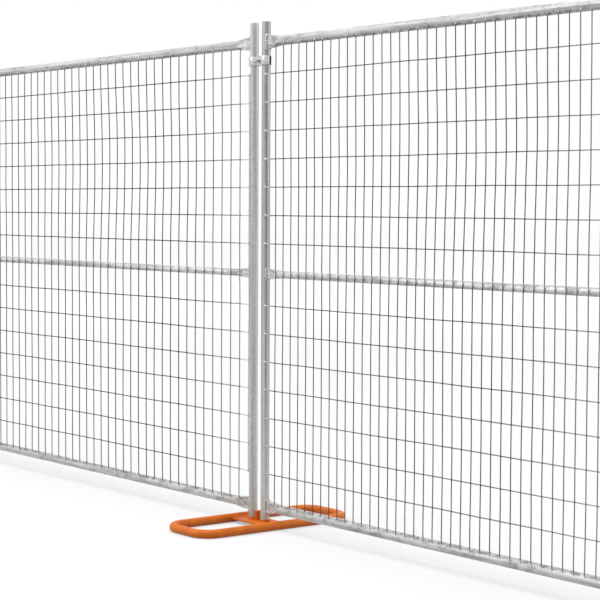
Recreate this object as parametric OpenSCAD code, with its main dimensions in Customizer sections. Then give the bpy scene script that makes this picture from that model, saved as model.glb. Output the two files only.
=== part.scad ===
// Two mesh fence panels in one line, coupled by a clamp and standing on tube loop feet.
// Millimetres, +Z up. X runs along the fence and Y across it. The wires lie on the -Y side.
// The origin is on the ground, midway between the two inner posts.

/* [Panel frame] */
// Length of a panel over its two posts
panel_l = 3048; // [1600:1:3600]
// Outside diameter of the posts
post_d = 31.75; // [29:0.05:36]
// Wall of the posts
post_wall = 1.65; // [1.2:0.05:2]
// Distance between the axes of the two inner posts
post_gap = 70.9; // [66:0.1:90]
// Outside diameter of the top and bottom rails
rail_d = 34.9; // [30:0.1:42]
// Outside diameter of the middle rail
mid_rail_d = 26.7; // [20:0.1:29]
// Wall of the three rails
rail_wall = 1.65; // [1.2:0.05:2.2]
// Post foot to the axis of the bottom rail
post_tail = 46.35; // [40:0.05:90]
// Axis of the bottom rail to axis of the middle rail
lower_bay = 848.5; // [500:0.5:1100]
// Axis of the middle rail to axis of the top rail
upper_bay = 833; // [500:0.5:1100]
// Axis of the top rail to the top of the post
post_head = 73; // [35:0.5:150]
// Length of a rail's flattened end, from the post's axis
flat_l = 42; // [28:0.5:60]
// Length over which a rail goes from flat to round
taper_l = 55; // [30:0.5:90]

/* [Mesh] */
// Diameter of every wire
wire_d = 3.4; // [2.5:0.1:5]
// Distance between cross wires
cross_pitch = 101.6; // [60:0.1:160]
// Distance between the left panel's line wires
left_wire_pitch = 57.15; // [40:0.05:120]
// Distance between the right panel's line wires
right_wire_pitch = 44.45; // [40:0.05:120]
// Left inner post's axis to the left panel's edge wire
left_edge = 10.3; // [10:0.05:40]
// Right inner post's axis to the right panel's edge wire
right_edge = 33.85; // [10:0.05:40]
// Axis of the top rail down to the first upper cross wire
upper_drop = 114.7; // [100:0.1:140]
// Axis of the middle rail down to the first lower cross wire
lower_drop = 115.5; // [60:0.1:140]

/* [Foot] */
// Outside diameter of the loop's tube
foot_tube_d = 31.75; // [25:0.05:40]
// Wall of the loop's tube
foot_tube_wall = 2; // [1.2:0.1:3]
// Width of the loop along the fence, tube axis to tube axis
foot_w = 233; // [180:1:320]
// Length of the loop across the fence, tube axis to tube axis
foot_l = 656; // [400:1:1000]
// Radius of the loop's bends, at the tube's axis
foot_bend_r = 68; // [45:1:85]
// Depth of the cross plate, across the fence
plate_l = 99; // [60:1:160]
// Thickness of the cross plate
plate_t = 6.35; // [4:0.05:10]
// Diameter of the spigots
spigot_d = 25.4; // [18:0.1:25.6]
// Height of the spigots above the plate
spigot_h = 100; // [50:1:160]
// Chamfer on the top of a spigot
spigot_chamfer = 3; // [1:0.5:5]
// Diameter of a spigot's root, inside the collar
root_d = 22; // [15:0.1:24]
// Diameter of the collars
collar_d = 38; // [34:0.5:50]
// Height of the collars
collar_h = 9; // [5:0.5:20]
// Thickness of the tab between the posts
tab_t = 10; // [5:0.5:14]
// Depth of the tab, across the fence
tab_l = 30; // [15:1:60]
// Height of the tab above the plate
tab_h = 35; // [15:1:45]

/* [Clamp] */
// Height of the clamp
clamp_h = 32; // [22:0.5:42]
// Axis of the top rail down to the middle of the clamp
clamp_drop = 65.2; // [55:0.1:76]
// Thickness of the pressed shells
shell_t = 3; // [2:0.1:4]
// Gap between the two shells
shell_split = 8; // [3:0.1:9]
// Length of the lip at each end of a shell
lip_l = 3; // [2:0.5:10]
// Wall of the rubber liners
liner_t = 1.5; // [1:0.1:2.5]
// Liner's end set back from the clamp's top and bottom
liner_setback = 1; // [0.5:0.1:3]
// Diameter of the bolt
bolt_d = 8; // [6:0.5:10]
// Diameter of the bolt's domed head
bolt_head_d = 18; // [13:0.5:20]
// Height of the bolt's domed head
bolt_head_h = 5; // [3:0.5:6]
// Bolt standing out of the nut when the clamp is shut
bolt_tail = 12; // [11:0.5:20]
// Nut across its flats
nut_w = 13; // [12:0.5:17]
// Thickness of the nut
nut_t = 6.5; // [4:0.5:8]
// Diameter of the washer
washer_d = 17; // [14:0.5:20]
// Thickness of the washer
washer_t = 1.6; // [1:0.1:2.5]

/* [Hidden] */
$fn = 48;
// Overrun of every cut
overrun = 8;
// Room at a welded seat
weld_gap = 0.05;
// How far a spigot's root stands out of its collar
root_relief = 0.6;
// Room under a post, so that it turns on its collar
seat_gap = 0.1;
// Room between a post and what it turns in
turn_gap = 0.3;
// Room between pieces that are pushed together
push_gap = 0.1;
// How far the pressing outlines stand off a rail's round part
press_margin = 1.5;
// Height of a flattened rail end over the rail's diameter
flat_share = 1.32;

// Heights
tube_axis_z = foot_tube_d / 2;
plate_top_z = tube_axis_z + plate_t / 2;
collar_top_z = plate_top_z + collar_h;
post_z = collar_top_z + seat_gap;
bottom_rail_z = post_z + post_tail;
mid_rail_z = bottom_rail_z + lower_bay;
top_rail_z = mid_rail_z + upper_bay;
overall_h = top_rail_z + post_head;
clamp_z = top_rail_z - clamp_drop;

// Places along the fence
post_span = panel_l - post_d;
inner_x = post_gap / 2;
outer_x = inner_x + post_span;
end_foot_x = outer_x + post_gap / 2;

// Places of the wires across the fence, and how far they run
line_y = -(mid_rail_d + wire_d) / 2 - weld_gap;
cross_y = line_y + wire_d + weld_gap;
line_inner_y = -line_y - wire_d / 2;
cross_inner_y = -cross_y - wire_d / 2;
line_seat = sqrt(max(0, pow(rail_d / 2, 2) - pow(line_inner_y, 2))) + weld_gap;
cross_seat = sqrt(max(0, pow(post_d / 2, 2) - pow(cross_inner_y, 2))) + weld_gap;
upper_cross_z = top_rail_z - upper_drop;
lower_cross_z = mid_rail_z - lower_drop;
upper_cross_n = floor((upper_bay - upper_drop - mid_rail_d) / cross_pitch) + 1;
lower_cross_n = floor((lower_bay - lower_drop - rail_d) / cross_pitch) + 1;
lowest_cross_z = lower_cross_z - (lower_cross_n - 1) * cross_pitch;

// Clamp, from the post's skin outward
liner_r = post_d / 2 + turn_gap;
saddle_r = liner_r + liner_t + push_gap;
shell_r = saddle_r + shell_t;
clamp_end = shell_r + lip_l;
web_y = shell_split / 2 + shell_t;
nut_y = web_y + washer_t + 2 * push_gap;
bolt_l = nut_y + nut_t + bolt_tail;

zinc = [0.70, 0.71, 0.72];
bright_zinc = [0.80, 0.80, 0.78];
orange = [0.88, 0.40, 0.08];
black = [0.09, 0.09, 0.09];

// Puts what is built outward along +X from an inner post's axis on the left or the right panel
module on_panel(side) {
    translate([side * inner_x, 0, 0])
        mirror([side < 0 ? 1 : 0, 0, 0])
            children();
}

// A round tube standing on z
module upright_tube(z, l, d, wall) {
    translate([0, 0, z])
        difference() {
            cylinder(d = d, h = l);
            translate([0, 0, -overrun]) cylinder(d = d - 2 * wall, h = l + 2 * overrun);
        }
}

// A round bar along +X
module level_bar(d, l) {
    rotate([0, 90, 0]) cylinder(d = d, h = l);
}

// Height and thickness of a tube's flattened end, with the tube's girth about kept
function flat_height(d) = d * flat_share;
function flat_thickness(d) = d * (PI - 2 * flat_share) / (PI - 2);

// The skin of a rail along +X, or its bore when inset is the wall: a turned bar that widens at its
// ends, pressed flat there between two outlines
module rail_skin(d, inset) {
    wide_r = flat_height(d) / 2 - inset;
    tube_r = d / 2 - inset;
    flat_y = flat_thickness(d) / 2 - inset;
    open_y = tube_r + press_margin;
    round_from = flat_l + taper_l;
    intersection() {
        rotate([0, 90, 0])
            rotate_extrude()
                polygon([
                    [0, 0], [wide_r, 0], [wide_r, flat_l], [tube_r, round_from],
                    [tube_r, post_span - round_from], [wide_r, post_span - flat_l],
                    [wide_r, post_span], [0, post_span]
                ]);
        translate([0, 0, -flat_height(d)])
            linear_extrude(height = 2 * flat_height(d))
                polygon([
                    [-overrun, flat_y], [flat_l, flat_y],
                    [round_from, open_y], [post_span - round_from, open_y],
                    [post_span - flat_l, flat_y], [post_span + overrun, flat_y],
                    [post_span + overrun, -flat_y], [post_span - flat_l, -flat_y],
                    [post_span - round_from, -open_y], [round_from, -open_y],
                    [flat_l, -flat_y], [-overrun, -flat_y]
                ]);
    }
}

// A rail between the two posts of a panel, coped to their skins
module rail(z, d) {
    translate([0, 0, z])
        difference() {
            rail_skin(d, 0);
            rail_skin(d, rail_wall);
            for (u = [0, post_span])
                translate([u, 0, -flat_height(d)])
                    cylinder(d = post_d + 2 * weld_gap, h = 2 * flat_height(d));
        }
}

module post(side, u) {
    on_panel(side) translate([u, 0, 0]) upright_tube(post_z, overall_h - post_z, post_d, post_wall);
}

// The upright wires of a panel. The first, beside the inner post, stops at the outermost cross wires.
module line_wires(side, pitch, edge) {
    count = floor((post_span - edge - post_d / 2 - wire_d) / pitch) + 1;
    on_panel(side)
        for (i = [0 : count - 1]) {
            from = i == 0 ? lowest_cross_z - wire_d : bottom_rail_z + line_seat;
            to = i == 0 ? upper_cross_z + wire_d : top_rail_z - line_seat;
            translate([edge + i * pitch, line_y, from]) cylinder(d = wire_d, h = to - from);
        }
}

// The level wires of a panel's upper or lower half
module cross_wires(side, z, count) {
    on_panel(side)
        for (i = [0 : count - 1])
            translate([cross_seat, cross_y, z - i * cross_pitch])
                level_bar(wire_d, post_span - 2 * cross_seat);
}

// The ring of a foot, as a bar of the given radius
module loop_bar(r) {
    straight_w = foot_w - 2 * foot_bend_r;
    straight_l = foot_l - 2 * foot_bend_r;
    for (s = [-1, 1]) {
        translate([s * foot_w / 2, straight_l / 2, 0]) rotate([90, 0, 0]) cylinder(r = r, h = straight_l);
        translate([-straight_w / 2, s * foot_l / 2, 0]) rotate([0, 90, 0]) cylinder(r = r, h = straight_w);
    }
    for (quarter = [0 : 3]) {
        sx = quarter == 0 || quarter == 3 ? 1 : -1;
        sy = quarter < 2 ? 1 : -1;
        translate([sx * straight_w / 2, sy * straight_l / 2, 0])
            rotate([0, 0, quarter * 90])
                rotate_extrude(angle = 90) translate([foot_bend_r, 0]) circle(r = r);
    }
}

module foot_loop(x) {
    color(orange)
        translate([x, 0, tube_axis_z])
            difference() {
                loop_bar(foot_tube_d / 2);
                loop_bar(foot_tube_d / 2 - foot_tube_wall);
            }
}

module foot_plate(x) {
    color(orange)
        translate([x, 0, tube_axis_z])
            difference() {
                translate([-foot_w / 2, -plate_l / 2, -plate_t / 2]) cube([foot_w, plate_l, plate_t]);
                for (s = [-1, 1])
                    translate([s * foot_w / 2, plate_l / 2 + overrun, 0])
                        rotate([90, 0, 0])
                            cylinder(d = foot_tube_d + 2 * weld_gap, h = plate_l + 2 * overrun);
            }
}

module foot_spigots(x) {
    color(orange)
        for (s = [-1, 1])
            translate([x + s * inner_x, 0, plate_top_z]) {
                root_h = collar_h + root_relief;
                cylinder(d = root_d, h = root_h);
                translate([0, 0, root_h]) cylinder(d = spigot_d, h = spigot_h - spigot_chamfer - root_h);
                translate([0, 0, spigot_h - spigot_chamfer])
                    cylinder(d1 = spigot_d, d2 = spigot_d - 2 * spigot_chamfer, h = spigot_chamfer);
            }
}

module foot_collars(x) {
    color(orange)
        for (s = [-1, 1])
            translate([x + s * inner_x, 0, 0])
                upright_tube(plate_top_z, collar_h, collar_d, (collar_d - root_d) / 2 - weld_gap);
}

module foot_tab(x) {
    color(orange) translate([x - tab_t / 2, -tab_l / 2, plate_top_z]) cube([tab_t, tab_l, tab_h]);
}

// A bar along -Y from y on the clamp's bolt line
module bolt_line_bar(y, d, l) {
    translate([0, y, clamp_z]) rotate([90, 0, 0]) cylinder(d = d, h = l);
}

// One pressed shell of the clamp: saddles, web and lips, on the side that front gives
module clamp_shell(front) {
    far_x = inner_x + clamp_end + overrun;
    difference() {
        translate([0, 0, clamp_z - clamp_h / 2]) {
            for (s = [-1, 1])
                translate([s * inner_x, 0, 0]) cylinder(r = shell_r, h = clamp_h);
            translate([-inner_x - clamp_end, -web_y, 0])
                cube([2 * (inner_x + clamp_end), 2 * web_y, clamp_h]);
        }
        for (s = [-1, 1])
            translate([s * inner_x, 0, clamp_z - clamp_h]) cylinder(r = saddle_r, h = 2 * clamp_h);
        translate([-far_x, front ? -shell_split / 2 : -shell_r - overrun, clamp_z - clamp_h])
            cube([2 * far_x, shell_r + shell_split / 2 + overrun, 2 * clamp_h]);
        bolt_line_bar(shell_r, bolt_d + 2 * push_gap, 2 * shell_r);
    }
}

module clamp_front_shell() { color(bright_zinc) clamp_shell(true); }

module clamp_rear_shell() { color(bright_zinc) clamp_shell(false); }

// A ring round each post with a bead that fills the gap between the shells' lips
module clamp_liners() {
    l = clamp_h - 2 * liner_setback;
    bead_w = shell_split - 2 * push_gap;
    color(black)
        for (s = [-1, 1])
            translate([s * inner_x, 0, clamp_z - l / 2])
                mirror([s < 0 ? 1 : 0, 0, 0])
                    difference() {
                        union() {
                            cylinder(r = liner_r + liner_t, h = l);
                            translate([0, -bead_w / 2, 0]) cube([clamp_end, bead_w, l]);
                        }
                        translate([0, 0, -overrun]) cylinder(r = liner_r, h = l + 2 * overrun);
                    }
}

module clamp_bolt() {
    dome_r = (pow(bolt_head_d / 2, 2) + pow(bolt_head_h, 2)) / (2 * bolt_head_h);
    seat_y = web_y + push_gap;
    color(bright_zinc) {
        bolt_line_bar(seat_y, bolt_d, seat_y + bolt_l);
        intersection() {
            translate([0, seat_y + bolt_head_h - dome_r, clamp_z]) sphere(r = dome_r);
            bolt_line_bar(seat_y + bolt_head_h, bolt_head_d, bolt_head_h);
        }
    }
}

module clamp_washer() {
    color(bright_zinc)
        difference() {
            bolt_line_bar(-web_y - push_gap, washer_d, washer_t);
            bolt_line_bar(0, bolt_d + 2 * push_gap, bolt_l);
        }
}

module clamp_nut() {
    color(bright_zinc)
        difference() {
            translate([0, -nut_y, clamp_z])
                rotate([90, 0, 0]) cylinder(d = nut_w / cos(30), h = nut_t, $fn = 6);
            bolt_line_bar(0, bolt_d + 2 * push_gap, bolt_l);
        }
}

module galvanised() { color(zinc) children(); }

foot_loop(0);  // centre_foot_loop
foot_plate(0);  // centre_foot_plate
foot_spigots(0);  // centre_foot_spigots
foot_collars(0);  // centre_foot_collars
foot_tab(0);  // centre_foot_tab

foot_loop(-end_foot_x);  // left_foot_loop
foot_plate(-end_foot_x);  // left_foot_plate
foot_spigots(-end_foot_x);  // left_foot_spigots
foot_collars(-end_foot_x);  // left_foot_collars
foot_tab(-end_foot_x);  // left_foot_tab

foot_loop(end_foot_x);  // right_foot_loop
foot_plate(end_foot_x);  // right_foot_plate
foot_spigots(end_foot_x);  // right_foot_spigots
foot_collars(end_foot_x);  // right_foot_collars
foot_tab(end_foot_x);  // right_foot_tab

galvanised() post(-1, 0);  // left_inner_post
galvanised() post(-1, post_span);  // left_outer_post
galvanised() on_panel(-1) rail(top_rail_z, rail_d);  // left_top_rail
galvanised() on_panel(-1) rail(mid_rail_z, mid_rail_d);  // left_mid_rail
galvanised() on_panel(-1) rail(bottom_rail_z, rail_d);  // left_bottom_rail
galvanised() line_wires(-1, left_wire_pitch, left_edge);  // left_line_wires
galvanised() cross_wires(-1, upper_cross_z, upper_cross_n);  // left_upper_cross_wires
galvanised() cross_wires(-1, lower_cross_z, lower_cross_n);  // left_lower_cross_wires

galvanised() post(1, 0);  // right_inner_post
galvanised() post(1, post_span);  // right_outer_post
galvanised() on_panel(1) rail(top_rail_z, rail_d);  // right_top_rail
galvanised() on_panel(1) rail(mid_rail_z, mid_rail_d);  // right_mid_rail
galvanised() on_panel(1) rail(bottom_rail_z, rail_d);  // right_bottom_rail
galvanised() line_wires(1, right_wire_pitch, right_edge);  // right_line_wires
galvanised() cross_wires(1, upper_cross_z, upper_cross_n);  // right_upper_cross_wires
galvanised() cross_wires(1, lower_cross_z, lower_cross_n);  // right_lower_cross_wires

clamp_front_shell();
clamp_rear_shell();
clamp_liners();
clamp_bolt();
clamp_washer();
clamp_nut();
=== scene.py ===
"""Looks of two coupled mesh fence panels: galvanised frames, orange loop feet and a plated clamp."""

import logging
import math
from contextlib import contextmanager
from dataclasses import dataclass, field, replace
from enum import Enum
from typing import Any, Callable, Iterator, Sequence

import bmesh
import bpy
from mathutils import Euler, Matrix, Vector


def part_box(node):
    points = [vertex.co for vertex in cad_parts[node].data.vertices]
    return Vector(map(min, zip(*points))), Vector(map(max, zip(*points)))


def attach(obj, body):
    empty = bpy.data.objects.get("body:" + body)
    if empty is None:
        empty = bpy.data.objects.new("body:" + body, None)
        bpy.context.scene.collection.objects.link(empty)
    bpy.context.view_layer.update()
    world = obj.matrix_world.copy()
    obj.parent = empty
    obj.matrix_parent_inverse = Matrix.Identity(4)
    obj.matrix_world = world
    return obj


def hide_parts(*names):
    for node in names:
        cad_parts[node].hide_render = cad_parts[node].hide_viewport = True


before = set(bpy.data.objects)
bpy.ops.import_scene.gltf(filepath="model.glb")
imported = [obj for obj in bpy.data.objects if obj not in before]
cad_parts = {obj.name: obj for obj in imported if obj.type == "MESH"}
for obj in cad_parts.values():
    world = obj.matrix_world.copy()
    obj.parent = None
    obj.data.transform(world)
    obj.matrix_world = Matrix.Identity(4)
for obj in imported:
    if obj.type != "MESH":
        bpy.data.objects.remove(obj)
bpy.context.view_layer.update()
LOG = logging.getLogger("fence")
MM = 0.001
TOUCHING = 0.01 * MM

Piece = bpy.types.Object
Material = bpy.types.Material
Pair = tuple[float, float]
Triple = tuple[float, float, float]
Colour = tuple[float, float, float, float]
WHITE: Colour = (1.0, 1.0, 1.0, 1.0)


class Side(Enum):
    """The two panels, with the way each runs along X from the middle."""

    LEFT = -1
    RIGHT = 1

    @property
    def label(self) -> str:
        """The word that starts the names of this side's nodes."""
        return self.name.lower()


class Half(Enum):
    """The two halves of a panel's mesh, above and below the middle rail."""

    UPPER = "upper"
    LOWER = "lower"


@dataclass(frozen=True)
class Extent:
    """The box of a CAD node."""

    low: Vector
    high: Vector

    @classmethod
    def of(cls, node: str) -> "Extent":
        """Measures a node."""
        return cls(*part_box(node))

    @property
    def middle(self) -> Vector:
        """The box's middle."""
        return (self.low + self.high) / 2

    @property
    def size(self) -> Vector:
        """The lengths of the box's edges."""
        return self.high - self.low


@dataclass(frozen=True)
class Seams:
    """Where posts and rails run, for finishes that change beside them."""

    inner_x: float
    outer_x: float
    bottom_z: float
    mid_z: float
    top_z: float

    @classmethod
    def measured(cls) -> "Seams":
        """Takes them from the right panel, which the left one mirrors.

        Returns:
            The places, in metres.
        """
        posts = (Extent.of(f"right_{name}_post").middle.x for name in ("inner", "outer"))
        rails = (Extent.of(f"right_{name}_rail").middle.z for name in ("bottom", "mid", "top"))
        return cls(*posts, *rails)


@dataclass(frozen=True)
class Noise:
    """Smooth noise: waves per metre along each axis, octaves, and how strong the fine ones are."""

    waves: Triple
    octaves: float = 3.0
    roughness: float = 0.5


class Signal:
    """One shader output that takes part in Python arithmetic on values."""

    def __init__(self, tree: "Tree", socket: bpy.types.NodeSocket) -> None:
        """Wraps an output of a node tree."""
        self.tree = tree
        self.socket = socket

    def _math(self, operation: str, first: Any, second: Any) -> "Signal":
        """Adds one Math node on two values or signals."""
        return self.tree.out("ShaderNodeMath", {"operation": operation}, {0: first, 1: second})

    def __add__(self, other: Any) -> "Signal":
        """This plus other."""
        return self._math("ADD", self, other)

    __radd__ = __add__

    def __sub__(self, other: Any) -> "Signal":
        """This minus other."""
        return self._math("SUBTRACT", self, other)

    def __rsub__(self, other: Any) -> "Signal":
        """Other minus this."""
        return self._math("SUBTRACT", other, self)

    def __mul__(self, other: Any) -> "Signal":
        """This times other."""
        return self._math("MULTIPLY", self, other)

    __rmul__ = __mul__

    def __abs__(self) -> "Signal":
        """This without its sign."""
        return self._math("ABSOLUTE", self, 0.0)

    def most(self, other: Any) -> "Signal":
        """The larger of this and other."""
        return self._math("MAXIMUM", self, other)

    def above(self, low: float, high: float) -> "Signal":
        """A smooth step from 0 at low to 1 at high, which may be the lower of the two."""
        span = {"Value": self, "From Min": low, "From Max": high}
        return self.tree.out("ShaderNodeMapRange", {"interpolation_type": "SMOOTHSTEP"}, span)

    def between(self, start: float, end: float) -> "Signal":
        """A value that goes from start to end as this goes from 0 to 1."""
        return start + (end - start) * self

    def rise(self, low: float, high: float, bottom: float, top: float) -> "Signal":
        """A straight slope from the level bottom, at low, to the level top, at high."""
        span = {"Value": self, "From Min": low, "From Max": high, "To Min": bottom, "To Max": top}
        return self.tree.out("ShaderNodeMapRange", {}, span)


class Tree:
    """The nodes of a material or of the world, made by one method."""

    MIX_FIRST, MIX_SECOND, MIX_RESULT = 6, 7, 2

    def __init__(self, owner: Material | bpy.types.World) -> None:
        """Starts an empty tree.

        Args:
            owner: the material or the world.
        """
        self.owner = owner
        owner.use_nodes = True
        self.nodes = owner.node_tree.nodes
        self.links = owner.node_tree.links
        self.nodes.clear()

    def node(self, kind: str, settings: dict[str, Any], inputs: dict[Any, Any]) -> bpy.types.Node:
        """Makes any node.

        Args:
            kind: the node's type.
            settings: properties that are set first.
            inputs: values, signals or sockets, by socket name or number.

        Returns:
            The node.
        """
        made = self.nodes.new(kind)
        for key, value in settings.items():
            setattr(made, key, value)
        for key, value in inputs.items():
            if isinstance(value, Signal):
                self.links.new(value.socket, made.inputs[key])
            elif isinstance(value, bpy.types.NodeSocket):
                self.links.new(value, made.inputs[key])
            else:
                made.inputs[key].default_value = value
        return made

    def out(self, kind: str, settings: dict[str, Any], inputs: dict[Any, Any], output: Any = 0) -> Signal:
        """Makes a node, as node does, and takes its output of that name or number."""
        return Signal(self, self.node(kind, settings, inputs).outputs[output])

    def place(self, scale: Triple = (1.0, 1.0, 1.0)) -> Signal:
        """Object coordinates, stretched along each axis."""
        here = self.out("ShaderNodeTexCoord", {}, {}, "Object")
        return self.out("ShaderNodeMapping", {}, {"Vector": here, "Scale": scale})

    def axis(self, name: str) -> Signal:
        """One of the piece's own coordinates, in metres: X, Y or Z."""
        return self.out("ShaderNodeSeparateXYZ", {}, {0: self.place()}, name)

    def noise(self, kind: Noise) -> Signal:
        """Smooth noise over the piece, about 0 to 1."""
        shape = {"Scale": 1.0, "Detail": kind.octaves, "Roughness": kind.roughness}
        return self.out("ShaderNodeTexNoise", {}, {"Vector": self.place(kind.waves), **shape}, "Fac")

    def cells(self, scale: float) -> Signal:
        """A flat random value, 0 to 1, for each crystal, with scale crystals to a metre."""
        seen = self.node("ShaderNodeTexVoronoi", {}, {"Vector": self.place(), "Scale": scale})
        return self.out("ShaderNodeSeparateColor", {}, {0: seen.outputs["Color"]}, 0)

    def blend(self, mask: Signal, first: Any, second: Any) -> Signal:
        """Mixes two colours or colour signals: a mask of 0 gives the first and 1 the second."""
        inputs = {0: mask, self.MIX_FIRST: first, self.MIX_SECOND: second}
        return self.out("ShaderNodeMix", {"data_type": "RGBA"}, inputs, self.MIX_RESULT)

    def bump(self, height: Signal, strength: float, depth: float) -> Signal:
        """A bent normal, from a relief of about 0 to 1 and its depth in metres."""
        return self.out("ShaderNodeBump", {}, {"Height": height, "Strength": strength, "Distance": depth})

    def close(
        self, constants: dict[str, float], colour: Signal, rough: Signal, normal: Signal | None = None
    ) -> Material:
        """Ends the material in a Principled shader.

        Args:
            constants: inputs that are the same all over.
            colour: the base colour.
            rough: the roughness.
            normal: the bent normal, if there is a relief.

        Returns:
            The material.
        """
        inputs = {**constants, "Base Color": colour, "Roughness": rough}
        if normal is not None:
            inputs["Normal"] = normal
        shader = self.node("ShaderNodeBsdfPrincipled", {}, inputs)
        self.node("ShaderNodeOutputMaterial", {}, {"Surface": shader.outputs["BSDF"]})
        return self.owner


@dataclass(frozen=True)
class ZincFinish:
    """Hot-dip galvanised tube: drawn streaking that is partly painted reflection, crystals, stains,
    grime, and weld soot with painted contact shade by the wires' welds.
    """

    name: str
    seams: Seams
    # Streak waves; the streaks are partly drawn streaks, partly painted reflection bands.
    streaks_and_reflections: Noise
    soot_and_shade_share: float = 0.0
    bright: Colour = (0.63, 0.627, 0.62, 1.0)
    dull: Colour = (0.34, 0.337, 0.332, 1.0)
    stain: Colour = (0.42, 0.405, 0.375, 1.0)
    # Weld soot, and painted contact shade where the wires meet the rails.
    soot_and_shade: Colour = (0.09, 0.09, 0.088, 1.0)
    streak_and_reflection_edge: Pair = (0.36, 0.64)
    crystals: float = 130.0
    crystal_share: float = 0.25
    bloom: Noise = Noise((9.0, 9.0, 9.0), 4.0)
    stain_edge: Pair = (0.60, 0.78)
    stain_share: float = 0.45
    grime: Colour = (0.16, 0.157, 0.150, 1.0)
    grime_share: float = 0.0
    grime_edge: Pair = (500.0 * MM, 900.0 * MM)
    patches: Noise = Noise((45.0, 45.0, 45.0))
    patch_edge: Pair = (0.42, 0.62)
    seam_inset: float = 13.5 * MM
    seam_reach: float = 7.0 * MM
    front_fade: float = 5.0 * MM
    metal: float = 0.65
    roughness: Pair = (0.34, 0.56)
    grain: Noise = Noise((700.0, 700.0, 700.0), 2.0)
    relief: Pair = (0.12, 0.6 * MM)

    def build(self) -> Material:
        """Makes the finish.

        Returns:
            The material.
        """
        tree = Tree(bpy.data.materials.new(self.name))
        # Streaks along the tube, from dull to bright: partly real, partly painted reflection bands.
        streak_and_reflection = tree.noise(self.streaks_and_reflections).above(*self.streak_and_reflection_edge)
        crystal = tree.cells(self.crystals)
        bloom = tree.noise(self.bloom)
        tone = crystal * self.crystal_share + streak_and_reflection * (1.0 - self.crystal_share)
        colour = tree.blend(tone, self.dull, self.bright)
        stained = bloom.above(*self.stain_edge) * self.stain_share
        colour = tree.blend(stained, colour, self.stain)
        weathered = tree.axis("Z").above(*self.grime_edge) * self.grime_share
        colour = tree.blend(weathered, colour, self.grime)
        # Darkens the rails' wire seams: weld soot, partly painted contact shade.
        colour = tree.blend(self.sooted_and_shaded(tree), colour, self.soot_and_shade)
        normal = tree.bump(tree.noise(self.grain) + crystal, *self.relief)
        return tree.close({"Metallic": self.metal}, colour, bloom.between(*self.roughness), normal)

    def sooted_and_shaded(self, tree: Tree) -> Signal:
        """How much weld soot and painted contact shade lie on the front of a rail, along the seam where
        the wires end.

        Args:
            tree: the node tree.

        Returns:
            0 for none, at most the share of weld soot and painted contact shade.
        """
        up = tree.axis("Z")
        heights = (self.seams.bottom_z + self.seam_inset, self.seams.top_z - self.seam_inset)
        away_low, away_high = (abs(up - height).above(0.0, self.seam_reach) for height in heights)
        front = (0.0 - tree.axis("Y")).above(0.0, self.front_fade)
        patches = tree.noise(self.patches).above(*self.patch_edge)
        return (1.0 - away_low * away_high) * front * patches * self.soot_and_shade_share


@dataclass(frozen=True)
class WireFinish:
    """Dull drawn wire, faded on part of its panel and painted where it is welded to posts and rails; over
    the middle rail the pale band covers only the rail's upper half, a painted highlight as well as weld
    paint.
    """

    name: str
    seams: Seams
    bright: Colour
    dull: Colour
    pale: Colour
    fade: Pair
    post_edge: Pair
    paint: Colour = (0.60, 0.60, 0.59, 1.0)
    # Weld paint on the wires at the rails; over the middle rail it is also painted highlight.
    rail_paint_and_highlight: Colour = (0.30, 0.30, 0.295, 1.0)
    rail_edge: Pair = (15.0 * MM, 19.0 * MM)
    mid_lit_edge: Pair = (8.0 * MM, 12.0 * MM)
    mid_lit_rise: float = 7.0 * MM
    grain: Noise = Noise((40.0, 40.0, 40.0))
    metal: float = 0.1
    shine: float = 0.15
    roughness: Pair = (0.5, 0.75)

    def build(self) -> Material:
        """Makes the finish.

        Returns:
            The material.
        """
        tree = Tree(bpy.data.materials.new(self.name))
        grain = tree.noise(self.grain)
        out, up = abs(tree.axis("X")), tree.axis("Z")
        off_posts = (out - self.seams.inner_x).above(*self.post_edge)
        off_posts = off_posts * (self.seams.outer_x - out).above(*self.post_edge)
        # Over the middle rail only the band across the rail's upper, top-lit half is paled: painted
        # highlight besides weld paint.
        off_rails = abs(up - (self.seams.mid_z + self.mid_lit_rise)).above(*self.mid_lit_edge)
        off_rails = off_rails * (self.seams.top_z - up).above(*self.rail_edge)
        off_rails = off_rails * (up - self.seams.bottom_z).above(*self.rail_edge)
        faded = (out - self.seams.inner_x).above(*self.fade)
        colour = tree.blend(faded, tree.blend(grain, self.dull, self.bright), self.pale)
        colour = tree.blend(off_rails, self.rail_paint_and_highlight, colour)
        colour = tree.blend(off_posts, self.paint, colour)
        constants = {"Metallic": self.metal, "Specular IOR Level": self.shine}
        return tree.close(constants, colour, grain.between(*self.roughness))


@dataclass(frozen=True)
class WeldFinish:
    """A zinc-coated weld: heaped ripples, dark in the hollows."""

    name: str
    crest: Colour = (0.66, 0.66, 0.65, 1.0)
    hollow: Colour = (0.24, 0.24, 0.235, 1.0)
    lumps: Noise = Noise((160.0, 160.0, 160.0), roughness=0.6)
    crest_edge: Pair = (0.35, 0.62)
    metal: float = 0.6
    roughness: Pair = (0.7, 0.32)
    relief: Pair = (0.7, 1.5 * MM)

    def build(self) -> Material:
        """Makes the finish.

        Returns:
            The material.
        """
        tree = Tree(bpy.data.materials.new(self.name))
        lump = tree.noise(self.lumps)
        colour = tree.blend(lump.above(*self.crest_edge), self.hollow, self.crest)
        normal = tree.bump(lump, *self.relief)
        return tree.close({"Metallic": self.metal}, colour, lump.between(*self.roughness), normal)


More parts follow.
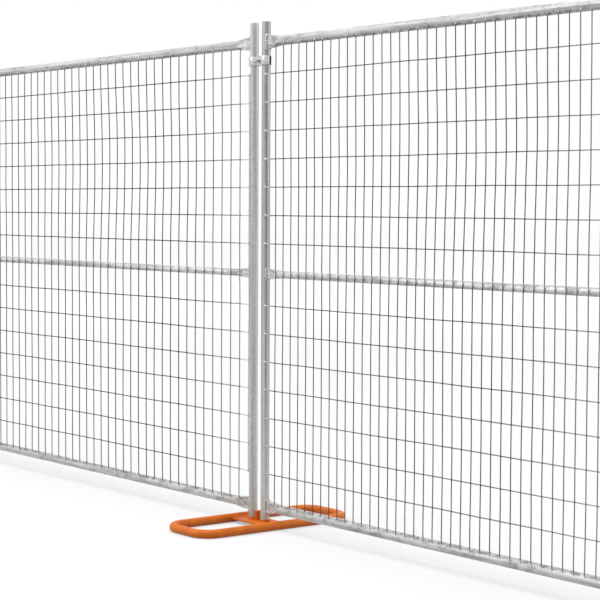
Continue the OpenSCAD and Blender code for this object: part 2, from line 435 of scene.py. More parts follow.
@dataclass(frozen=True)
class PaintFinish:
    """Orange site paint: uneven coat, scuffs, dust and chips down to dark primer."""

    name: str
    coat: Colour = (0.68, 0.162, 0.003, 1.0)
    deep: Colour = (0.55, 0.108, 0.002, 1.0)
    dust: Colour = (0.80, 0.42, 0.20, 1.0)
    chip: Colour = (0.17, 0.06, 0.03, 1.0)
    flow: Noise = Noise((14.0, 14.0, 14.0))
    flow_edge: Pair = (0.3, 0.7)
    scuffs: Noise = Noise((60.0, 22.0, 60.0), 5.0, 0.65)
    scuff_edge: Pair = (0.60, 0.80)
    scuff_share: float = 0.22
    chips: Noise = Noise((85.0, 85.0, 85.0), 4.0, 0.6)
    chip_edge: Pair = (0.715, 0.735)
    roughness: Pair = (0.36, 0.62)
    peel: Noise = Noise((420.0, 420.0, 420.0), 2.0)
    relief: Pair = (0.10, 0.7 * MM)
    clear_coat: float = 0.05
    shine: float = 0.28

    def build(self) -> Material:
        """Makes the finish.

        Returns:
            The material.
        """
        tree = Tree(bpy.data.materials.new(self.name))
        flow = tree.noise(self.flow)
        scuffed = tree.noise(self.scuffs).above(*self.scuff_edge) * self.scuff_share
        chipped = tree.noise(self.chips).above(*self.chip_edge)
        colour = tree.blend(flow.above(*self.flow_edge), self.deep, self.coat)
        colour = tree.blend(scuffed, colour, self.dust)
        colour = tree.blend(chipped, colour, self.chip)
        normal = tree.bump(tree.noise(self.peel) - chipped, *self.relief)
        constants = {"Coat Weight": self.clear_coat, "Specular IOR Level": self.shine}
        return tree.close(constants, colour, flow.between(*self.roughness) + scuffed, normal)


@dataclass(frozen=True)
class PlateFinish:
    """Bright zinc plate on pressed steel and fasteners, with press marks."""

    name: str
    bright: Colour = (0.62, 0.62, 0.61, 1.0)
    dull: Colour = (0.42, 0.42, 0.41, 1.0)
    marks: Noise = Noise((35.0, 35.0, 180.0), 4.0, 0.6)
    mark_edge: Pair = (0.3, 0.7)
    metal: float = 0.85
    roughness: Pair = (0.28, 0.5)
    relief: Pair = (0.08, 0.5 * MM)

    def build(self) -> Material:
        """Makes the finish.

        Returns:
            The material.
        """
        tree = Tree(bpy.data.materials.new(self.name))
        mark = tree.noise(self.marks)
        colour = tree.blend(mark.above(*self.mark_edge), self.dull, self.bright)
        normal = tree.bump(mark, *self.relief)
        return tree.close({"Metallic": self.metal}, colour, mark.between(*self.roughness), normal)


@dataclass(frozen=True)
class LinerFinish:
    """Near-black finish with a chalky bloom, for the liners that fill the dark strip at the clamp's end.
    """

    name: str
    black: Colour = (0.006, 0.006, 0.006, 1.0)
    chalk: Colour = (0.02, 0.02, 0.02, 1.0)
    bloom: Noise = Noise((90.0, 90.0, 90.0), 5.0, 0.6)
    chalk_edge: Pair = (0.4, 0.8)
    roughness: Pair = (0.72, 0.92)
    relief: Pair = (0.15, 0.4 * MM)

    def build(self) -> Material:
        """Makes the finish.

        Returns:
            The material.
        """
        tree = Tree(bpy.data.materials.new(self.name))
        bloom = tree.noise(self.bloom)
        colour = tree.blend(bloom.above(*self.chalk_edge), self.black, self.chalk)
        return tree.close({}, colour, bloom.between(*self.roughness), tree.bump(bloom, *self.relief))


class Finishes:
    """Every finish of the fence, built once."""

    def __init__(self) -> None:
        """Builds the materials."""
        seams = Seams.measured()
        # Streak noise along the posts and along the rails, partly painted reflection bands.
        upright, level = Noise((110.0, 110.0, 1.2)), Noise((3.0, 110.0, 110.0))
        self.post = {
            Side.LEFT: ZincFinish("left_post_zinc", seams, upright).build(),
            Side.RIGHT: ZincFinish(
                "right_post_zinc",
                seams,
                upright,
                bright=(0.585, 0.583, 0.575, 1.0),
                dull=(0.305, 0.303, 0.297, 1.0),
                grime_share=0.33,
            ).build(),
        }
        rail = ZincFinish(
            "rail_zinc",
            seams,
            level,
            # Weld soot and painted contact shade along the wire seams.
            soot_and_shade_share=0.7,
            dull=(0.38, 0.377, 0.371, 1.0),
            stain=(0.20, 0.195, 0.185, 1.0),
            bloom=Noise((20.0, 45.0, 45.0), 5.0, 0.65),
            stain_edge=(0.50, 0.68),
            stain_share=0.6,
            metal=0.5,
            roughness=(0.42, 0.68),
        )
        # Painted light: the middle rail takes a brighter copy of the rail zinc, making up light it gets
        # less of.
        mid_rail = replace(
            rail,
            name="mid_rail_lit_zinc",
            soot_and_shade_share=0.0,
            bright=(0.71, 0.707, 0.70, 1.0),
            dull=(0.40, 0.397, 0.392, 1.0),
        )
        self.rail, self.mid_rail = rail.build(), mid_rail.build()
        left_wire = WireFinish(
            "left_wire_zinc",
            seams,
            bright=(0.045, 0.045, 0.044, 1.0),
            dull=(0.028, 0.028, 0.027, 1.0),
            pale=(0.20, 0.20, 0.197, 1.0),
            fade=(500.0 * MM, 120.0 * MM),
            post_edge=(56.0 * MM, 68.0 * MM),
        )
        right_wire = WireFinish(
            "right_wire_zinc",
            seams,
            bright=(0.10, 0.10, 0.098, 1.0),
            dull=(0.065, 0.065, 0.064, 1.0),
            pale=(0.23, 0.23, 0.226, 1.0),
            fade=(1200.0 * MM, 1700.0 * MM),
            post_edge=(38.0 * MM, 46.0 * MM),
        )
        left_cross = replace(
            left_wire,
            name="left_cross_zinc",
            bright=(0.115, 0.115, 0.113, 1.0),
            dull=(0.085, 0.085, 0.084, 1.0),
            pale=(0.28, 0.28, 0.275, 1.0),
        )
        right_cross = replace(
            right_wire,
            name="right_cross_zinc",
            bright=(0.185, 0.185, 0.182, 1.0),
            dull=(0.12, 0.12, 0.118, 1.0),
            pale=(0.34, 0.34, 0.335, 1.0),
        )
        self.line_wire = {Side.LEFT: left_wire.build(), Side.RIGHT: right_wire.build()}
        self.cross_wire = {Side.LEFT: left_cross.build(), Side.RIGHT: right_cross.build()}
        self.weld = WeldFinish("zinc_weld").build()
        self.paint = PaintFinish("orange_paint").build()
        self.plate = PlateFinish("zinc_plate").build()
        self.rubber = LinerFinish("near_black_liner").build()


class Bench:
    """Modelling operators used as by hand, on one selected piece at a time."""

    CREASE = math.radians(40.0)
    EASE_FROM = math.radians(35.0)
    EASE_STEPS = 2
    MIDWAY = 0.5

    @staticmethod
    def pick(*pieces: Piece) -> None:
        """Selects these pieces alone and makes the first one active.

        Args:
            *pieces: the pieces, or none.
        """
        bpy.ops.object.select_all(action="DESELECT")
        for piece in pieces:
            piece.select_set(True)
        if pieces:
            bpy.context.view_layer.objects.active = pieces[0]

    @staticmethod
    def begin(add: Callable[..., set[str]], **settings: Any) -> Piece:
        """Adds a primitive with nothing else selected.

        Args:
            add: the operator that adds it.
            **settings: the operator's settings.

        Returns:
            The primitive.
        """
        Bench.pick()
        add(**settings)
        return bpy.context.active_object

    @staticmethod
    @contextmanager
    def editing() -> Iterator[None]:
        """Edit mode on the active piece, with all of it selected at first.

        Yields:
            Nothing.
        """
        bpy.ops.object.mode_set(mode="EDIT")
        bpy.ops.mesh.select_all(action="SELECT")
        yield
        bpy.ops.object.mode_set(mode="OBJECT")

    @staticmethod
    def choose_edges(piece: Piece, wanted: Callable[[bmesh.types.BMEdge], bool]) -> None:
        """Selects some edges of a piece that is in edit mode.

        Args:
            piece: the piece.
            wanted: tells whether an edge is one of them.
        """
        bpy.ops.mesh.select_mode(type="EDGE")
        bpy.ops.mesh.select_all(action="DESELECT")
        for edge in bmesh.from_edit_mesh(piece.data).edges:
            edge.select_set(wanted(edge))
        bmesh.update_edit_mesh(piece.data)

    @staticmethod
    def lengthwise(edge: bmesh.types.BMEdge) -> bool:
        """Whether an edge runs along Z rather than across it."""
        drop = edge.verts[0].co - edge.verts[1].co
        return abs(drop.z) > drop.xy.length

    @staticmethod
    def settle(piece: Piece) -> Piece:
        """Puts a piece's place, turn and scale into its mesh.

        Args:
            piece: the piece.

        Returns:
            The same piece, at the origin.
        """
        Bench.pick(piece)
        bpy.ops.object.transform_apply(location=True, rotation=True, scale=True)
        return piece

    @staticmethod
    def modify(piece: Piece, kind: str, **settings: Any) -> Piece:
        """Adds a modifier and applies it.

        Args:
            piece: the piece.
            kind: the modifier's type.
            **settings: the modifier's settings.

        Returns:
            The same piece.
        """
        added = piece.modifiers.new(kind, kind)
        for key, value in settings.items():
            setattr(added, key, value)
        Bench.pick(piece)
        bpy.ops.object.modifier_apply(modifier=added.name)
        return piece

    @staticmethod
    def join(pieces: Sequence[Piece]) -> Piece:
        """Joins pieces into the first one.

        Args:
            pieces: the pieces.

        Returns:
            The joined piece.
        """
        Bench.pick(*pieces)
        if len(pieces) > 1:
            bpy.ops.object.join()
        return pieces[0]

    @staticmethod
    def bar(start: Vector, end: Vector, radius: float, sides: int, cuts: int) -> Piece:
        """A round bar with rings along it.

        Args:
            start: one end.
            end: the other end.
            radius: the bar's radius.
            sides: faces round it.
            cuts: rings between the ends.

        Returns:
            The bar, settled.
        """
        along = end - start
        made = Bench.begin(
            bpy.ops.mesh.primitive_cylinder_add,
            vertices=sides,
            radius=radius,
            depth=along.length,
            location=(start + end) / 2,
            rotation=along.to_track_quat("Z", "Y").to_euler(),
        )
        with Bench.editing():
            Bench.choose_edges(made, Bench.lengthwise)
            bpy.ops.mesh.subdivide(number_cuts=cuts)
        return Bench.settle(made)

    @staticmethod
    def nub(place: Vector, size: Triple, detail: int = 1) -> Piece:
        """A squashed weld spot.

        Args:
            place: its middle.
            size: its radius along each axis.
            detail: subdivisions of the ball that it starts from.

        Returns:
            The spot, settled.
        """
        ball = bpy.ops.mesh.primitive_ico_sphere_add
        made = Bench.begin(ball, subdivisions=detail, radius=1.0, location=place)
        with Bench.editing():
            bpy.ops.transform.resize(value=size)
        return Bench.settle(made)

    @staticmethod
    def turned(outline: Sequence[Pair], sides: int) -> Piece:
        """A piece turned on a lathe about the upright axis.

        Args:
            outline: its half section, each point as radius and height.
            sides: faces round it.

        Returns:
            The turned piece.
        """
        made = Bench.begin(bpy.ops.mesh.primitive_plane_add, size=MM, location=(0.0, 0.0, 0.0))
        points = [Vector((radius, 0.0, height)) for radius, height in outline]
        with Bench.editing():
            bpy.ops.mesh.select_mode(type="VERT")
            bpy.ops.mesh.merge(type="CENTER")
            bpy.ops.transform.translate(value=points[0])
            for before, after in zip(points, points[1:]):
                bpy.ops.mesh.extrude_vertices_move(TRANSFORM_OT_translate={"value": after - before})
        welded = {"use_merge_vertices": True, "merge_threshold": TOUCHING}
        Bench.modify(made, "SCREW", axis="Z", angle=math.tau, steps=sides, **welded)
        return Bench.face_out(made)

    @staticmethod
    def face_out(piece: Piece) -> Piece:
        """Closes a piece's open ends and turns its faces outward.

        Args:
            piece: the piece.

        Returns:
            The same piece.
        """
        Bench.pick(piece)
        with Bench.editing():
            bpy.ops.mesh.fill_holes(sides=0)
            bpy.ops.mesh.normals_make_consistent(inside=False)
        return piece

    @staticmethod
    def row(piece: Piece, count: int, step: Triple) -> Piece:
        """Repeats a piece in a row of count, each a step from the last."""
        apart = {"use_relative_offset": False, "use_constant_offset": True}
        return Bench.modify(piece, "ARRAY", count=count, constant_offset_displace=step, **apart)

    @staticmethod
    def shift(piece: Piece, texture: bpy.types.Texture, reach: float, way: str, **settings: Any) -> Piece:
        """Moves a piece's points by a texture, over a reach in all, along an axis or NORMAL."""
        settings = {"texture_coords": "LOCAL", "mid_level": Bench.MIDWAY, **settings}
        return Bench.modify(piece, "DISPLACE", texture=texture, direction=way, strength=reach, **settings)

    @staticmethod
    def hand_over(
        piece: Piece, name: str, body: str, slot: str, finish: Material, stands_for: Sequence[str] = ()
    ) -> None:
        """Names, paints, smooths and seats a finished piece.

        Args:
            piece: the piece.
            name: its name.
            body: the CAD body that it moves with.
            slot: a material slot's name; not used.
            finish: its material.
            stands_for: CAD nodes that it replaces.
        """
        piece.name = name
        piece.data.name = name
        piece.data.materials.clear()
        piece.data.materials.append(finish)
        Bench.pick(piece)
        bpy.ops.object.shade_smooth_by_angle(angle=Bench.CREASE)
        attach(piece, body)
        if stands_for:
            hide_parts(*stands_for)
        LOG.info("%s: %d faces", name, len(piece.data.polygons))

    @staticmethod
    def dress(node: str, finish: Material, edge: float = 0.0) -> None:
        """Paints a CAD node and eases its edges.

        Args:
            node: the node's name.
            finish: its material.
            edge: the radius of its eased edges, 0 for none.
        """
        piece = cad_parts[node]
        piece.data.materials.clear()
        piece.data.materials.append(finish)
        if edge > 0.0:
            merged = piece.modifiers.new("merge", "WELD")
            merged.merge_threshold = TOUCHING
            eased = piece.modifiers.new("ease", "BEVEL")
            eased.width = edge
            eased.segments = Bench.EASE_STEPS
            eased.limit_method = "ANGLE"
            eased.angle_limit = Bench.EASE_FROM
            eased.harden_normals = True
        LOG.info("%s dressed", node)


@dataclass
class Drift:
    """How the wires stray from their lines: a slow wander, and a bow in each panel's upper half."""

    sideways: float = 4.5 * MM
    level: float = 3.5 * MM
    proud: float = 1.5 * MM
    wave: float = 300.0 * MM
    bow_depth: float = 9.5 * MM
    bow_middles: tuple[Triple, ...] = ((-0.92, 0.0, 1.34), (1.13, 0.0, 1.34))
    bow_reach: Triple = (0.85, 1.0, 0.42)

    def __post_init__(self) -> None:
        """Makes the field of the wander, that of a bow, and an empty to place and stretch each bow."""
        self.field = bpy.data.textures.new("wire_wander", "CLOUDS")
        self.field.noise_scale = self.wave
        self.hill = bpy.data.textures.new("wire_bow", "BLEND")
        self.hill.progression = "SPHERICAL"
        self.hill.use_color_ramp = True
        self.hill.color_ramp.interpolation = "EASE"
        self.marks = [Bench.begin(bpy.ops.object.empty_add, location=at) for at in self.bow_middles]
        for mark in self.marks:
            mark.scale = self.bow_reach
        bpy.context.view_layer.update()

    def stray(self, piece: Piece) -> Piece:
        """Moves a piece's points as the wires stray.

        Args:
            piece: the piece.

        Returns:
            The same piece.
        """
        for way, reach in (("X", self.sideways), ("Z", self.level), ("Y", self.proud)):
            Bench.shift(piece, self.field, reach, way)
        for mark in self.marks:
            about = {"texture_coords": "OBJECT", "texture_coords_object": mark, "mid_level": 0.0}
            Bench.shift(piece, self.hill, self.bow_depth, "Y", **about)
        return piece

    def clear(self) -> None:
        """Takes the empties away."""
        Bench.pick(*self.marks)
        bpy.ops.object.delete()


@dataclass
class Panel:
    """One panel: its tubes, its mesh of wires and its welds, sized from its CAD nodes."""

    side: Side
    finishes: Finishes
    drift: Drift
    lumps: bpy.types.Texture
    pitch: float
    coated_d: float
    slot: str = "galvanised"
    cross_count: int = 7
    wire_sink: float = 1.2 * MM
    wire_sides: int = 6
    line_cuts: int = 40
    cross_cuts: int = 90
    spot: Triple = (2.6 * MM, 2.2 * MM, 2.3 * MM)
    end_spot: Triple = (3.0 * MM, 2.8 * MM, 3.4 * MM)
    post_spot: Triple = (5.5 * MM, 4.2 * MM, 6.0 * MM)
    post_spot_detail: int = 2
    flat_ratio: float = 0.333
    bead: float = 4.4 * MM
    bead_reach: float = 1.4 * MM
    bead_lump: float = 3.4 * MM
    bead_cuts: int = 7
    bead_rounding: int = 2

    def __post_init__(self) -> None:
        """Measures the wires and works out their rows."""
        self.lines = Extent.of(self.node("line_wires"))
        self.crosses = {half: Extent.of(self.node(f"{half.value}_cross_wires")) for half in Half}
        wire_d = self.lines.size.y
        upper = self.crosses[Half.UPPER]
        across = self.lines.size.x - wire_d
        nearest = min(abs(self.lines.low.x), abs(self.lines.high.x))
        self.first_x = self.side.value * (nearest + wire_d / 2)
        self.line_count = round(across / self.pitch) + 1
        self.line_step = (self.side.value * across / (self.line_count - 1), 0.0, 0.0)
        self.cross_step = (0.0, 0.0, (wire_d - upper.size.z) / (self.cross_count - 1))
        self.first_z = {half: cross.high.z - wire_d / 2 for half, cross in self.crosses.items()}

    @property
    def body(self) -> str:
        """The CAD body of this panel."""
        return f"{self.side.label}_panel"

    def node(self, name: str) -> str:
        """The full name of one of this panel's nodes."""
        return f"{self.side.label}_{name}"

    def build(self) -> None:
        """Makes and dresses everything on the panel."""
        self.dress_tubes()
        self.line_wires()
        for half in Half:
            self.cross_wires(half)
        self.crossing_welds()
        self.seat_welds()
        self.rail_welds()

    def dress_tubes(self) -> None:
        """Paints the posts and rails."""
        for name in ("inner_post", "outer_post"):
            Bench.dress(self.node(name), self.finishes.post[self.side])
        for name in ("top_rail", "bottom_rail"):
            Bench.dress(self.node(name), self.finishes.rail)
        # The middle rail's zinc is a brighter copy of the rails' zinc, as painted light.
        Bench.dress(self.node("mid_rail"), self.finishes.mid_rail)

    def hand_over_wires(self, wires: Piece, name: str, finish: Material) -> None:
        """Hands over wires that stand for the CAD node of that name, given without its side."""
        node = self.node(name)
        Bench.hand_over(wires, f"{node}_drawn", self.body, self.slot, finish, [node])

    def upright(self, x: float, low: float, high: float) -> Piece:
        """One upright wire at x along the fence, from the height low to the height high."""
        ends = (Vector((x, self.lines.middle.y, z)) for z in (low, high))
        return Bench.bar(*ends, self.coated_d / 2, self.wire_sides, self.line_cuts)

    def line_wires(self) -> None:
        """Models the upright wires, with the short one beside the inner post."""
        overhang = self.coated_d / 2
        low, high = self.crosses[Half.LOWER].low.z, self.crosses[Half.UPPER].high.z
        short = self.upright(self.first_x, low - overhang, high + overhang)
        low, high = self.lines.low.z - self.wire_sink, self.lines.high.z + self.wire_sink
        long = self.upright(self.first_x + self.line_step[0], low, high)
        Bench.row(long, self.line_count - 1, self.line_step)
        wires = self.drift.stray(Bench.join([long, short]))
        self.hand_over_wires(wires, "line_wires", self.finishes.line_wire[self.side])

    def cross_wires(self, half: Half) -> None:
        """Models the level wires of one half.

        Args:
            half: which half of the panel.
        """
        cross = self.crosses[half]
        ends = (
            Vector((x, cross.middle.y, self.first_z[half]))
            for x in (cross.low.x - self.wire_sink, cross.high.x + self.wire_sink)
        )
        wire = Bench.bar(*ends, self.coated_d / 2, self.wire_sides, self.cross_cuts)
        Bench.row(wire, self.cross_count, self.cross_step)
        wires = self.drift.stray(wire)
        self.hand_over_wires(wires, f"{half.value}_cross_wires", self.finishes.cross_wire[self.side])

    def crossing_welds(self) -> None:
        """Models the weld spots where wires cross."""
        spots = []
        for half in Half:
            y = (self.lines.middle.y + self.crosses[half].middle.y) / 2
            spot = Bench.nub(Vector((self.first_x, y, self.first_z[half])), self.spot)
            Bench.row(spot, self.line_count, self.line_step)
            spots.append(Bench.row(spot, self.cross_count, self.cross_step))
        welds = self.drift.stray(Bench.join(spots))
        finish = self.finishes.line_wire[self.side]
        Bench.hand_over(welds, self.node("mesh_welds"), self.body, self.slot, finish)

    def seat_welds(self) -> None:
        """Models the weld spots where wires end on posts and rails."""
        spots = []
        for half, cross in self.crosses.items():
            for x in (cross.low.x, cross.high.x):
                place = Vector((x, cross.middle.y, self.first_z[half]))
                seat = Bench.nub(place, self.post_spot, self.post_spot_detail)
                spots.append(Bench.row(seat, self.cross_count, self.cross_step))
        for z in (self.lines.low.z, self.lines.high.z):
            place = Vector((self.first_x + self.line_step[0], self.lines.middle.y, z))
            spots.append(Bench.row(Bench.nub(place, self.end_spot), self.line_count - 1, self.line_step))
        welds = self.drift.stray(Bench.join(spots))
        Bench.hand_over(welds, self.node("seat_welds"), self.body, self.slot, self.finishes.weld)

    def rail_weld(self, post: str, rail: str, inward: int) -> Piece:
        """Models the bead round one flattened rail end.

        Args:
            post: the post's node.
            rail: the rail's node.
            inward: 1 on the inner post, -1 on the outer one.

        Returns:
            The bead.
        """
        at, along = Extent.of(post), Extent.of(rail)
        x = at.middle.x + self.side.value * inward * at.size.x
        z = along.middle.z
        high = along.size.z + 2 * self.bead_reach
        wide = along.size.z * self.flat_ratio + 2 * self.bead_reach
        across = (0.0, math.pi / 2, 0.0)
        plane = bpy.ops.mesh.primitive_plane_add
        loop = Bench.begin(plane, size=1.0, location=(x, 0.0, z), rotation=across)
        loop.scale = (high, wide, 1.0)
        Bench.settle(loop)

        def inside(edge: bmesh.types.BMEdge) -> bool:
            """Whether an edge lies inside the flat's outline."""
            middle = (edge.verts[0].co + edge.verts[1].co) / 2
            return abs(middle.z - z) < high / 2 - TOUCHING and abs(middle.y) < wide / 2 - TOUCHING

        with Bench.editing():
            bpy.ops.mesh.subdivide(number_cuts=self.bead_cuts)
            bpy.ops.mesh.select_mode(type="FACE")
            bpy.ops.mesh.delete(type="ONLY_FACE")
            Bench.choose_edges(loop, inside)
            bpy.ops.mesh.delete(type="EDGE")
        ways = {"use_negative_direction": True, "use_positive_direction": True, "use_project_x": True}
        Bench.modify(loop, "SHRINKWRAP", target=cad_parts[post], wrap_method="PROJECT", **ways)
        Bench.pick(loop)
        bpy.ops.object.convert(target="CURVE")
        loop = bpy.context.active_object
        loop.data.bevel_depth = self.bead
        loop.data.bevel_resolution = self.bead_rounding
        bpy.ops.object.convert(target="MESH")
        return bpy.context.active_object

    def rail_welds(self) -> None:
        """Models the beads at all six rail ends."""
        beads = []
        for rail in ("bottom_rail", "mid_rail", "top_rail"):
            for post, inward in (("inner_post", 1), ("outer_post", -1)):
                beads.append(self.rail_weld(self.node(post), self.node(rail), inward))
        welds = Bench.shift(Bench.join(beads), self.lumps, self.bead_lump, "NORMAL")
        Bench.hand_over(welds, self.node("rail_welds"), self.body, self.slot, self.finishes.weld)


@dataclass
class Foot:
    """One loop foot: its painted solids and the welds between them, sized from its CAD nodes."""

    name: str
    finishes: Finishes
    lumps: bpy.types.Texture
    bead: float = 3.2 * MM
    small_bead: float = 2.2 * MM
    bead_lump: float = 1.8 * MM
    bead_sides: int = 10
    seam_cuts: int = 36
    tab_cuts: int = 18
    ring_sides: int = 40
    seam_out: float = 0.8 * MM
    edge: float = 0.8 * MM

    def build(self) -> None:
        """Paints the foot and adds its welds."""
        for node in ("loop", "spigots", "collars"):
            Bench.dress(f"{self.name}_{node}", self.finishes.paint)
        for node in ("plate", "tab"):
            Bench.dress(f"{self.name}_{node}", self.finishes.paint, self.edge)
        self.welds()

    def seam(self, x: float, half_l: float, z: float, bead: float, cuts: int) -> Piece:
        """One straight weld across the foot at x and z, of that half length, radius and rings."""
        ends = (Vector((x, y, z)) for y in (-half_l, half_l))
        return Bench.bar(*ends, bead, self.bead_sides, cuts)

    def welds(self) -> None:
        """Models the beads along the plate's ends, round the collars and beside the tab."""
        plate, collars, tab = (Extent.of(f"{self.name}_{node}") for node in ("plate", "collars", "tab"))
        collar_r = collars.size.y / 2
        reach = collars.size.x / 2 - collar_r
        beads = []
        for way in (-1, 1):
            x = plate.middle.x + way * (plate.size.x / 2 + self.seam_out)
            for z in (plate.high.z, plate.low.z):
                beads.append(self.seam(x, plate.high.y, z, self.bead, self.seam_cuts))
            ring = Bench.begin(
                bpy.ops.mesh.primitive_torus_add,
                major_segments=self.ring_sides,
                minor_segments=self.bead_sides,
                major_radius=collar_r,
                minor_radius=self.small_bead,
                location=(plate.middle.x + way * reach, 0.0, plate.high.z),
            )
            beads.append(Bench.settle(ring))
            x = tab.middle.x + way * tab.size.x / 2
            beads.append(self.seam(x, tab.high.y, plate.high.z, self.small_bead, self.tab_cuts))
        welds = Bench.shift(Bench.join(beads), self.lumps, self.bead_lump, "NORMAL")
        Bench.hand_over(welds, f"{self.name}_welds", self.name, "orange_paint", self.finishes.paint)


@dataclass
class Clamp:
    """The clamp on the inner posts: pressed shells, liners and a threaded bolt."""

    finishes: Finishes
    bolt_r: float = 4.0 * MM
    core_r: float = 3.3 * MM
    head_h: float = 5.0 * MM
    plain_l: float = 13.5 * MM
    tip_l: float = 1.2 * MM
    pitch: float = 1.25 * MM
    ridge_r: float = 0.6 * MM
    ridge_sides: int = 3
    dome_steps: int = 6
    sides: int = 32
    edge: float = 0.6 * MM
    fine_edge: float = 0.35 * MM

    def build(self) -> None:
        """Dresses the clamp and turns its bolt."""
        for node in ("clamp_front_shell", "clamp_rear_shell"):
            Bench.dress(node, self.finishes.plate, self.edge)
        for node in ("clamp_washer", "clamp_nut"):
            Bench.dress(node, self.finishes.plate, self.fine_edge)
        # The liners are coloured near-black to fill the dark strip at the clamp's end.
        Bench.dress("clamp_liners", self.finishes.rubber, self.fine_edge)
        self.bolt()

    def bolt(self) -> None:
        """Turns the bolt's domed head, shank and tip, and winds its thread on."""
        bolt = Extent.of("clamp_bolt")
        length = bolt.size.y
        head_r = bolt.size.x / 2
        dome_r = (head_r**2 + self.head_h**2) / (2 * self.head_h)
        dome_turn = math.asin(head_r / dome_r) / self.dome_steps
        turns = [dome_turn * step for step in range(self.dome_steps + 1)]
        thread_z = self.head_h + self.plain_l
        shank = Bench.turned(
            [
                *((dome_r * math.sin(turn), dome_r * (1.0 - math.cos(turn))) for turn in turns),
                (self.bolt_r, self.head_h),
                (self.bolt_r, thread_z),
                (self.core_r, thread_z),
                (self.core_r, length - self.tip_l),
                (self.core_r - self.tip_l / 2, length),
                (0.0, length),
            ],
            self.sides,
        )
        made = Bench.join([shank, self.thread(thread_z, length - self.tip_l)])
        made.rotation_euler = (math.pi / 2, 0.0, 0.0)
        made.location = (bolt.middle.x, bolt.high.y, bolt.middle.z)
        Bench.settle(made)
        finish = self.finishes.plate
        Bench.hand_over(made, "threaded_bolt", "centre_foot", "bright_zinc", finish, ["clamp_bolt"])

    def thread(self, low: float, high: float) -> Piece:
        """Winds a ridge of whole turns up round the upright axis.

        Args:
            low: where the thread starts.
            high: where it has to end.

        Returns:
            The ridge, with closed ends.
        """
        made = Bench.begin(
            bpy.ops.mesh.primitive_circle_add,
            vertices=self.ridge_sides,
            radius=self.ridge_r,
            location=(self.bolt_r - self.ridge_r, 0.0, low + self.ridge_r),
            rotation=Matrix(((0, 1, 0), (0, 0, 1), (1, 0, 0))).to_euler(),
        )
        Bench.settle(made)
        helix = {"iterations": int((high - low) / self.pitch), "screw_offset": self.pitch}
        Bench.modify(made, "SCREW", axis="Z", angle=math.tau, steps=self.sides // 2, **helix)
        return Bench.face_out(made)


@dataclass(frozen=True)
class Lamp:
    """One soft square lamp."""

    name: str
    at: Triple
    aim: Triple
    side: float
    power: float

    def hang(self) -> None:
        """Adds the lamp to the scene."""
        data = bpy.data.lights.new(self.name, "AREA")
        data.size = self.side
        data.energy = self.power
        lamp = bpy.data.objects.new(self.name, data)
        lamp.location = self.at
        lamp.rotation_euler = (Vector(self.aim) - Vector(self.at)).to_track_quat("-Z", "Y").to_euler()
        bpy.context.scene.collection.objects.link(lamp)


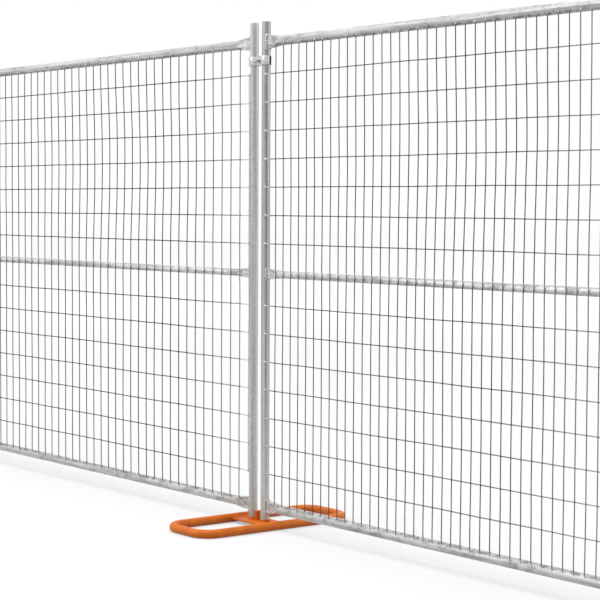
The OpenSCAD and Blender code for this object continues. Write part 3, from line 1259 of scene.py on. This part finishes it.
@dataclass
class Studio:
    """Floor, light and camera."""

    lamps: tuple[Lamp, ...] = (
        Lamp("key", at=(-3.0, -6.0, 5.0), aim=(0.0, 0.0, 0.9), side=4.0, power=220.0),
        Lamp("overhead", at=(0.5, -0.8, 9.5), aim=(0.0, 0.0, 0.0), side=8.0, power=700.0),
        Lamp("rim", at=(5.0, 5.0, 2.5), aim=(0.0, 0.0, 0.9), side=3.0, power=80.0),
    )

    camera_at: Triple = (5190.1 * MM, -3854.5 * MM, 1174.2 * MM)
    tilt_deg: float = 86.925
    turn_deg: float = 52.098
    roll_deg: float = 0.26
    lens_mm: float = 106.74
    sensor_mm: float = 36.0
    clip_end: float = 200.0
    floor_size: float = 120.0
    floor_colour: Colour = (0.42, 0.42, 0.42, 1.0)
    near: float = 1.5
    far: float = 13.0
    near_glow: float = 0.445
    far_glow: float = 0.74
    sky_light: float = 0.58
    backdrop: float = 1.0

    def build(self) -> None:
        """Sets the stage."""
        bpy.context.scene.view_settings.view_transform = "Standard"
        self.floor()
        self.sky()
        for lamp in self.lamps:
            lamp.hang()
        self.camera()

    def floor(self) -> None:
        """Lays a pale floor that keeps the shadow and looks white."""
        plane = bpy.ops.mesh.primitive_plane_add
        floor = Bench.begin(plane, size=self.floor_size, location=(0.0, 0.0, 0.0))
        floor.name = "floor"
        tree = Tree(bpy.data.materials.new("pale_floor"))
        away = tree.out("ShaderNodeVectorMath", {"operation": "LENGTH"}, {0: tree.place()}, "Value")
        level = away.rise(self.near, self.far, self.near_glow, self.far_glow)
        glow = tree.node("ShaderNodeEmission", {}, {"Color": WHITE, "Strength": level * self.seen(tree)})
        matt = tree.node("ShaderNodeBsdfDiffuse", {}, {"Color": self.floor_colour})
        both = tree.node("ShaderNodeAddShader", {}, {0: glow.outputs[0], 1: matt.outputs[0]})
        tree.node("ShaderNodeOutputMaterial", {}, {"Surface": both.outputs[0]})
        floor.data.materials.append(tree.owner)

    @staticmethod
    def seen(tree: Tree) -> Signal:
        """Marks rays that show the background.

        Args:
            tree: the node tree.

        Returns:
            1 for camera, glossy and transmission rays.
        """
        path = tree.node("ShaderNodeLightPath", {}, {})
        rays = ("Is Camera Ray", "Is Glossy Ray", "Is Transmission Ray")
        camera, glossy, through = (Signal(tree, path.outputs[name]) for name in rays)
        return camera.most(glossy).most(through)

    def sky(self) -> None:
        """Lights the object evenly from all round, with a white backdrop."""
        world = bpy.data.worlds.new("studio")
        bpy.context.scene.world = world
        tree = Tree(world)
        level = self.sky_light + (self.backdrop - self.sky_light) * self.seen(tree)
        light = tree.node("ShaderNodeBackground", {}, {"Color": WHITE, "Strength": level})
        tree.node("ShaderNodeOutputWorld", {}, {"Surface": light.outputs[0]})

    def camera(self) -> None:
        """Sets the camera as the photograph was taken."""
        data = bpy.data.cameras.new("camera")
        data.lens = self.lens_mm
        data.sensor_width = self.sensor_mm
        data.clip_end = self.clip_end
        camera = bpy.data.objects.new("camera", data)
        look = Euler((math.radians(self.tilt_deg), 0.0, math.radians(self.turn_deg))).to_matrix()
        roll = Matrix.Rotation(math.radians(self.roll_deg), 3, "Z")
        camera.rotation_euler = (look @ roll).to_euler()
        camera.location = self.camera_at
        bpy.context.scene.collection.objects.link(camera)
        bpy.context.scene.camera = camera


@dataclass
class Fence:
    """The whole fence, built in order."""

    finishes: Finishes = field(default_factory=Finishes)
    drift: Drift = field(default_factory=Drift)
    left_pitch: float = 57.15 * MM
    left_coated_d: float = 4.1 * MM
    right_pitch: float = 44.45 * MM
    right_coated_d: float = 3.7 * MM
    lump_size: float = 5.0 * MM

    def build(self) -> None:
        """Builds every sub-assembly."""
        lumps = bpy.data.textures.new("weld_lumps", "CLOUDS")
        lumps.noise_scale = self.lump_size
        for side, pitch, coated_d in (
            (Side.LEFT, self.left_pitch, self.left_coated_d),
            (Side.RIGHT, self.right_pitch, self.right_coated_d),
        ):
            Panel(side, self.finishes, self.drift, lumps, pitch, coated_d).build()
        self.drift.clear()
        for name in ("centre_foot", "left_foot", "right_foot"):
            Foot(name, self.finishes, lumps).build()
        Clamp(self.finishes).build()


def main() -> None:
    """Builds the fence and its stage."""
    logging.basicConfig(level=logging.INFO)
    Fence().build()
    Studio().build()


if __name__ == "__main__":
    main()
